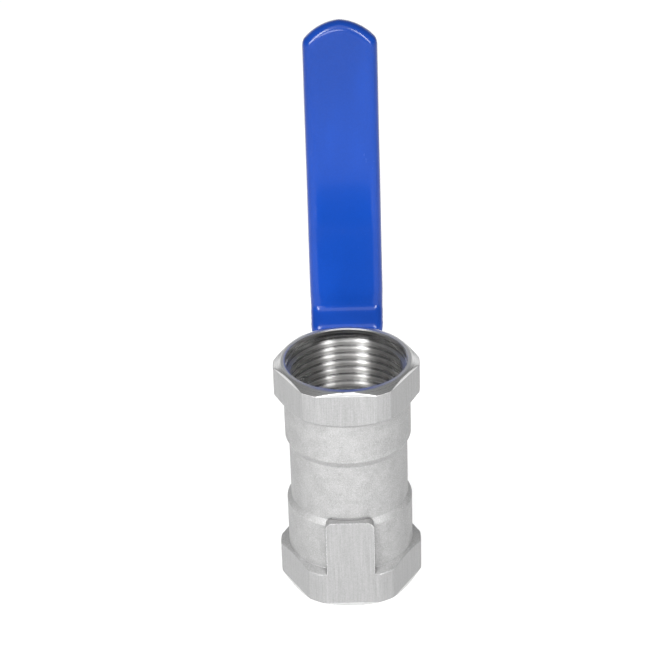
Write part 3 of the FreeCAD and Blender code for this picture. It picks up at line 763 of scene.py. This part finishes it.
# ---- geometry nodes: the pipe thread ----
def ridge_tree():
    """A helical ridge on the inside of a cylinder, tapered at both ends."""
    tree = bpy.data.node_groups.new("helical_ridge", "GeometryNodeTree")
    sockets = (
        ("Wall Radius", "NodeSocketFloat", 0.01),
        ("Crest Radius", "NodeSocketFloat", 0.009),
        ("Pitch", "NodeSocketFloat", 0.002),
        ("Turns", "NodeSocketFloat", 5.0),
        ("Steps", "NodeSocketInt", 96),
        ("Crest Width", "NodeSocketFloat", 0.0006),
        ("Root Width", "NodeSocketFloat", 0.002),
        ("Crest Rounding", "NodeSocketFloat", 0.0001),
        ("Fade Turns", "NodeSocketFloat", 0.4),
        ("Material", "NodeSocketMaterial", None),
    )
    for name, kind, default in sockets:
        socket = tree.interface.new_socket(name, in_out="INPUT", socket_type=kind)
        if default is not None:
            socket.default_value = default
    tree.interface.new_socket("Geometry", in_out="OUTPUT", socket_type="NodeSocketGeometry")
    given = tree.nodes.new("NodeGroupInput").outputs

    def node(kind, settings, links):
        made = tree.nodes.new(kind)
        for key, value in settings.items():
            setattr(made, key, value)
        for key, value in links.items():
            if isinstance(value, bpy.types.NodeSocket):
                tree.links.new(value, made.inputs[key])
            else:
                made.inputs[key].default_value = value
        return made.outputs

    def maths(operation, *values):
        return node("ShaderNodeMath", {"operation": operation}, dict(enumerate(values)))[0]

    length = maths("MULTIPLY", given["Pitch"], given["Turns"])
    spiral = node(
        "GeometryNodeCurveSpiral",
        {},
        {
            "Resolution": given["Steps"],
            "Rotations": given["Turns"],
            "Start Radius": given["Wall Radius"],
            "End Radius": given["Wall Radius"],
            "Height": length,
        },
    )["Curve"]
    spiral = node("GeometryNodeSetCurveNormal", {"mode": "Z_UP"}, {"Curve": spiral})["Curve"]
    factor = node("GeometryNodeSplineParameter", {}, {})["Factor"]
    nearest = maths("MINIMUM", factor, maths("SUBTRACT", 1.0, factor))
    share = maths("DIVIDE", maths("MULTIPLY", nearest, given["Turns"]), given["Fade Turns"])
    size = maths("MAXIMUM", maths("MINIMUM", share, 1.0), 0.12)
    height = maths("SUBTRACT", given["Wall Radius"], given["Crest Radius"])
    foot = maths("MULTIPLY", height, -0.06)
    half_crest = maths("DIVIDE", given["Crest Width"], 2.0)
    half_root = maths("DIVIDE", given["Root Width"], 2.0)
    corners = {}
    places = ((foot, half_root), (height, half_crest), (height, None), (foot, None))
    for index, (inwards, half) in enumerate(places):
        if half is None:
            half = maths("MULTIPLY", half_crest if index == 2 else half_root, -1.0)
        corners[f"Point {index + 1}"] = node(
            "ShaderNodeCombineXYZ", {}, {"X": half, "Y": inwards}
        )[0]
    outline = node("GeometryNodeCurvePrimitiveQuadrilateral", {"mode": "POINTS"}, corners)["Curve"]
    outline = node(
        "GeometryNodeFilletCurve",
        {"mode": "POLY"},
        {"Curve": outline, "Count": 2, "Radius": given["Crest Rounding"]},
    )["Curve"]
    ridge = node(
        "GeometryNodeCurveToMesh",
        {},
        {"Curve": spiral, "Profile Curve": outline, "Scale": size, "Fill Caps": True},
    )["Mesh"]
    ridge = node("GeometryNodeRealizeInstances", {}, {"Geometry": ridge})["Geometry"]
    ridge = node(
        "GeometryNodeSetMaterial", {}, {"Geometry": ridge, "Material": given["Material"]}
    )["Geometry"]
    node("NodeGroupOutput", {}, {0: ridge})
    return tree


def thread_ridge(name, low, high, settings, wall, material):
    """The helical ridge of one port between two heights, as a plain mesh."""
    piece = add_piece(name, bpy.data.meshes.new(name))
    ridge = piece.modifiers.new("helical_ridge", "NODES")
    tree = bpy.data.node_groups.get("helical_ridge") or ridge_tree()
    ridge.node_group = tree
    values = {
        "Wall Radius": wall,
        "Crest Radius": THREAD_CREST_R,
        "Pitch": settings.pitch,
        "Turns": (high - low) / settings.pitch,
        "Steps": settings.steps,
        "Crest Width": settings.crest,
        "Root Width": settings.root,
        "Crest Rounding": settings.crest_round,
        "Material": material,
    }
    for socket in tree.interface.items_tree:
        if socket.in_out == "INPUT" and socket.name in values:
            ridge[socket.identifier] = values[socket.name]
    applied(piece)
    piece.data.transform(Matrix.Translation((0, 0, low)))
    shape = welded(piece.data, RIDGE_WELD)
    bmesh.ops.recalc_face_normals(shape, faces=shape.faces)
    piece.data = mesh_of(shape, name)
    return smoothed(piece, math.radians(50))


# ---- operators ----
class VALVE_OT_casting(bpy.types.Operator):
    """Make the cast body with its plain port walls and worn edges, with painted shade in its creases
    and a painted highlight on its outer edges
    """

    bl_idname = "valve.casting"
    bl_label = "Cast body"

    def execute(self, context):
        settings = context.scene.valve_casting
        body = joined_copy("valve_body", "cast_body")
        floors = (
            (INSERT_HIGH.z + INSERT_GAP, BODY_HIGH.z - settings.mouth_depth),
            (BODY_LOW.z + settings.mouth_depth, BODY_LOW.z + LOWER_WALL_DEPTH),
        )
        cutters = []
        for index, (low, high) in enumerate(floors):
            cutter = cylinder(f"port_cutter_{index}", settings.port_wall, low, high)
            cut = body.modifiers.new(cutter.name, "BOOLEAN")
            cut.object = cutter
            cut.operation = "DIFFERENCE"
            cut.solver = "EXACT"
            cutters.append(cutter)
        applied(body)
        for cutter in cutters:
            bpy.data.objects.remove(cutter)
        made_whole(body)
        eased(body, settings.edge_round, settings.sharpest)
        paint = casting_paint(settings)
        fit_out(body, paint, "housing", "cast_stainless", "valve_body")
        return {"FINISHED"}


class VALVE_OT_port_threads(bpy.types.Operator):
    """Make the helical ridges of the two pipe threads"""

    bl_idname = "valve.port_threads"
    bl_label = "Pipe threads"

    def execute(self, context):
        settings = context.scene.valve_thread
        wall = context.scene.valve_casting.port_wall
        paint = turned_paint(
            "turned_thread", settings.colour, "around_pipe", 0.38, 0.02 * MM, 0.95
        )
        depth = THREAD_END_EXTRA + THREAD_LENGTH
        top, foot = BODY_HIGH.z, BODY_LOW.z
        for name, low, high in (
            ("upper_pipe_thread", top - depth - RUN_OUT, top - THREAD_START),
            ("lower_pipe_thread", foot + THREAD_START, foot + depth + RUN_OUT),
        ):
            ridge = thread_ridge(name, low, high, settings, wall, paint)
            fit_out(ridge, paint, "housing", "machined_stainless")
        return {"FINISHED"}


class VALVE_OT_sleeve(bpy.types.Operator):
    """Make the dipped vinyl sleeve of the lever"""

    bl_idname = "valve.sleeve"
    bl_label = "Vinyl sleeve"

    def execute(self, context):
        settings = context.scene.valve_lever
        sleeve = joined_copy("lever_sleeve", "vinyl_sleeve")
        skin = sleeve.modifiers.new("even_skin", "REMESH")
        skin.mode = "VOXEL"
        skin.voxel_size = settings.skin
        soft = sleeve.modifiers.new("soft_skin", "SMOOTH")
        soft.factor = 0.5
        soft.iterations = 3
        applied(sleeve)
        crease = sleeve.vertex_groups.new(name="bend")
        bend_z = SLEEVE_LOW.z + settings.bend_rise
        for vert in sleeve.data.vertices:
            near = 1 - abs(vert.co.z - bend_z) / settings.bend_reach
            if near > 0:
                crease.add([vert.index], min(1.0, 2 * near), "REPLACE")
        fill = sleeve.modifiers.new("full_bend", "SMOOTH")
        fill.vertex_group = crease.name
        fill.factor = 0.5
        fill.iterations = settings.bend_fill
        applied(sleeve)
        length = SLEEVE_HIGH.z - SLEEVE_LOW.z
        points = [vert.co for vert in sleeve.data.vertices]
        low, high = (Vector(map(pick, zip(*points))) for pick in (min, max))
        moved = []
        for vert in sleeve.data.vertices:
            place = vert.co.copy()
            for axis in range(3):
                along = (place[axis] - low[axis]) / (high[axis] - low[axis])
                place[axis] = SLEEVE_LOW[axis] + along * (SLEEVE_HIGH[axis] - SLEEVE_LOW[axis])
            height_share = (place.z - SLEEVE_LOW.z) / length
            swell = noise.noise(Vector([a * b for a, b in zip(place, SWELL_PER_METRE)]))
            place += vert.normal * settings.sag * (swell - 0.5)
            place.x *= 1 + (settings.tip_width - 1) * height_share
            moved.extend(place)
        sleeve.data.vertices.foreach_set("co", moved)
        sleeve.data.update()
        sleeve.data.shade_smooth()
        fit_out(sleeve, vinyl_paint(settings), "lever", "blue_vinyl", "lever_sleeve")
        return {"FINISHED"}


class VALVE_OT_lever(bpy.types.Operator):
    """Finish the bare steel of the lever and the spring washer and nuts on its stem"""

    bl_idname = "valve.lever"
    bl_label = "Lever, stem and nuts"

    def execute(self, context):
        settings = context.scene.valve_lever
        steel = sheet_paint(settings)
        bright = turned_paint(
            "turned_stem_steel", settings.steel, "around_stem", 0.30, 0.008 * MM
        )
        dark = turned_paint(
            "spring_steel", shade(settings.steel, 0.62)[:3], "around_stem", 0.36, 0.006 * MM
        )
        finishes = (
            ("lever_plate", steel, "lever_steel", 0.25 * MM),
            ("stem", bright, "machined_stainless", 0.06 * MM),
            ("gland_nut", bright, "nut_steel", 0.12 * MM),
            ("lever_nut", bright, "nut_steel", 0.12 * MM),
            ("spring_washer", dark, "spring_steel", 0.12 * MM),
            ("disc_spring_lower", dark, "spring_steel", 0.05 * MM),
            ("disc_spring_upper", dark, "spring_steel", 0.05 * MM),
        )
        for node, paint, slot, edge in finishes:
            piece = made_whole(joined_copy(node, "finished_" + node))
            eased(piece, edge, math.radians(24))
            fit_out(piece, paint, "lever", slot, node)
        return {"FINISHED"}


class VALVE_OT_inner_parts(bpy.types.Operator):
    """Finish the ball, its seats, the end insert and the packing"""

    bl_idname = "valve.inner_parts"
    bl_label = "Ball, seats and packing"

    def execute(self, context):
        thread = context.scene.valve_thread
        polished = turned_paint(
            "polished_ball", thread.colour, "around_pipe", 0.10, 0.0006 * MM
        )
        turned = turned_paint(
            "turned_insert", thread.colour, "around_pipe", 0.28, 0.008 * MM
        )
        gland = turned_paint("turned_gland", thread.colour, "around_stem", 0.28, 0.008 * MM)
        plastic = ptfe_paint()
        finishes = [
            ("ball", polished, "ball", "polished_stainless"),
            ("end_insert", turned, "housing", "machined_stainless"),
            ("gland_bush", gland, "housing", "machined_stainless"),
        ]
        for node in (
            "seat_ring_lower",
            "seat_ring_upper",
            "insert_seal_ring",
            "stem_thrust_washer",
            "packing_base_ring",
            "packing_v_ring_lower",
            "packing_v_ring_upper",
            "packing_top_ring",
        ):
            finishes.append((node, plastic, "housing", "ptfe"))
        for node, paint, body, slot in finishes:
            piece = joined_copy(node, "finished_" + node)
            smoothed(piece, math.radians(30))
            fit_out(piece, paint, body, slot, node)
        return {"FINISHED"}


class VALVE_OT_stage(bpy.types.Operator):
    """Set the camera, the floor and the lights"""

    bl_idname = "valve.stage"
    bl_label = "Stage"

    def execute(self, context):
        settings = context.scene.valve_stage
        self.add_camera(context, settings)
        self.add_floor(settings)
        lights = (
            # name, azimuth, elevation, distance, width, height, power
            ("key_left", -34, 27, 0.95, 0.22, 0.66, 13.0),
            ("key_right", 34, 27, 0.95, 0.18, 0.66, 9.6),
            ("front_high", -4, 50, 1.60, 1.50, 1.20, 12.0),
            ("front_low", -8, 12, 1.20, 0.50, 0.25, 6.0),
            ("back", 180, 17, 1.50, 2.40, 0.38, 4.0),
        )
        for name, azimuth, elevation, distance, width, height, power in lights:
            light = bpy.data.lights.new(name, "AREA")
            light.shape = "RECTANGLE"
            light.size = width
            light.size_y = height
            light.energy = power
            lamp = bpy.data.objects.new(name, light)
            context.scene.collection.objects.link(lamp)
            away = direction(math.radians(azimuth), math.radians(elevation))
            middle = Vector((0, 0, BODY_HIGH.z))
            lamp.location = middle + away * distance
            lamp.rotation_euler = away.to_track_quat("Z", "Y").to_euler()
        world = bpy.data.worlds.new("studio")
        world.use_nodes = True
        backdrop = world.node_tree.nodes["Background"]
        backdrop.inputs["Color"].default_value = (1, 1, 1, 1)
        backdrop.inputs["Strength"].default_value = settings.sky
        context.scene.world = world
        context.scene.view_settings.view_transform = "Standard"
        return {"FINISHED"}

    def add_camera(self, context, settings):
        away = direction(settings.azimuth, settings.elevation)
        right = (-away).cross(Vector((0, 0, 1))).normalized()
        above = right.cross(-away)
        turn = settings.roll
        leant_right = right * math.cos(turn) + above * math.sin(turn)
        leant_up = above * math.cos(turn) - right * math.sin(turn)
        lens = bpy.data.cameras.new("camera")
        lens.sensor_width = 36
        lens.lens = settings.lens
        lens.dof.use_dof = False
        camera = bpy.data.objects.new("camera", lens)
        context.scene.collection.objects.link(camera)
        place = Matrix((leant_right, leant_up, away)).transposed().to_4x4()
        place.translation = Vector(settings.focus) + away * settings.distance
        camera.matrix_world = place
        context.scene.camera = camera

    def add_floor(self, settings):
        shape = bmesh.new()
        half = settings.floor_size / 2
        bmesh.ops.create_grid(shape, x_segments=1, y_segments=1, size=half)
        floor = add_piece("floor", mesh_of(shape, "floor"))
        paint = Paint("pale_floor")
        grain = paint.noise(paint.mm, 0.02, 2.0, 0.5)
        floor.data.materials.append(
            paint.finish(
                Base_Color=settings.floor_colour[:] + (1.0,),
                Emission_Color=(1.0, 1.0, 1.0, 1.0),
                Emission_Strength=settings.floor_glow,
                Roughness=grain * 0.1 + 0.7,
                Specular_IOR_Level=0.0,
            )
        )


class VALVE_PT_panel(bpy.types.Panel):
    """Sizes, colours and steps of the ball valve"""

    bl_idname = "VALVE_PT_panel"
    bl_label = "Hexagon ball valve"
    bl_space_type = "VIEW_3D"
    bl_region_type = "UI"
    bl_category = "Ball valve"

    def draw(self, context):
        for name, group in SETTINGS.items():
            box = self.layout.box()
            settings = getattr(context.scene, name)
            for key in group.__annotations__:
                box.prop(settings, key)
        for operator in OPERATORS:
            self.layout.operator(operator.bl_idname)


OPERATORS = (
    VALVE_OT_casting,
    VALVE_OT_port_threads,
    VALVE_OT_sleeve,
    VALVE_OT_lever,
    VALVE_OT_inner_parts,
    VALVE_OT_stage,
)


def register():
    for name, group in SETTINGS.items():
        bpy.utils.register_class(group)
        setattr(bpy.types.Scene, name, bpy.props.PointerProperty(type=group))
    for operator in OPERATORS:
        bpy.utils.register_class(operator)
    bpy.utils.register_class(VALVE_PT_panel)


def unregister():
    bpy.utils.unregister_class(VALVE_PT_panel)
    for operator in reversed(OPERATORS):
        bpy.utils.unregister_class(operator)
    for name, group in reversed(SETTINGS.items()):
        delattr(bpy.types.Scene, name)
        bpy.utils.unregister_class(group)


def main():
    register()
    for operator in OPERATORS:
        group, name = operator.bl_idname.split(".")
        getattr(getattr(bpy.ops, group), name)()


if __name__ == "__main__":
    main()
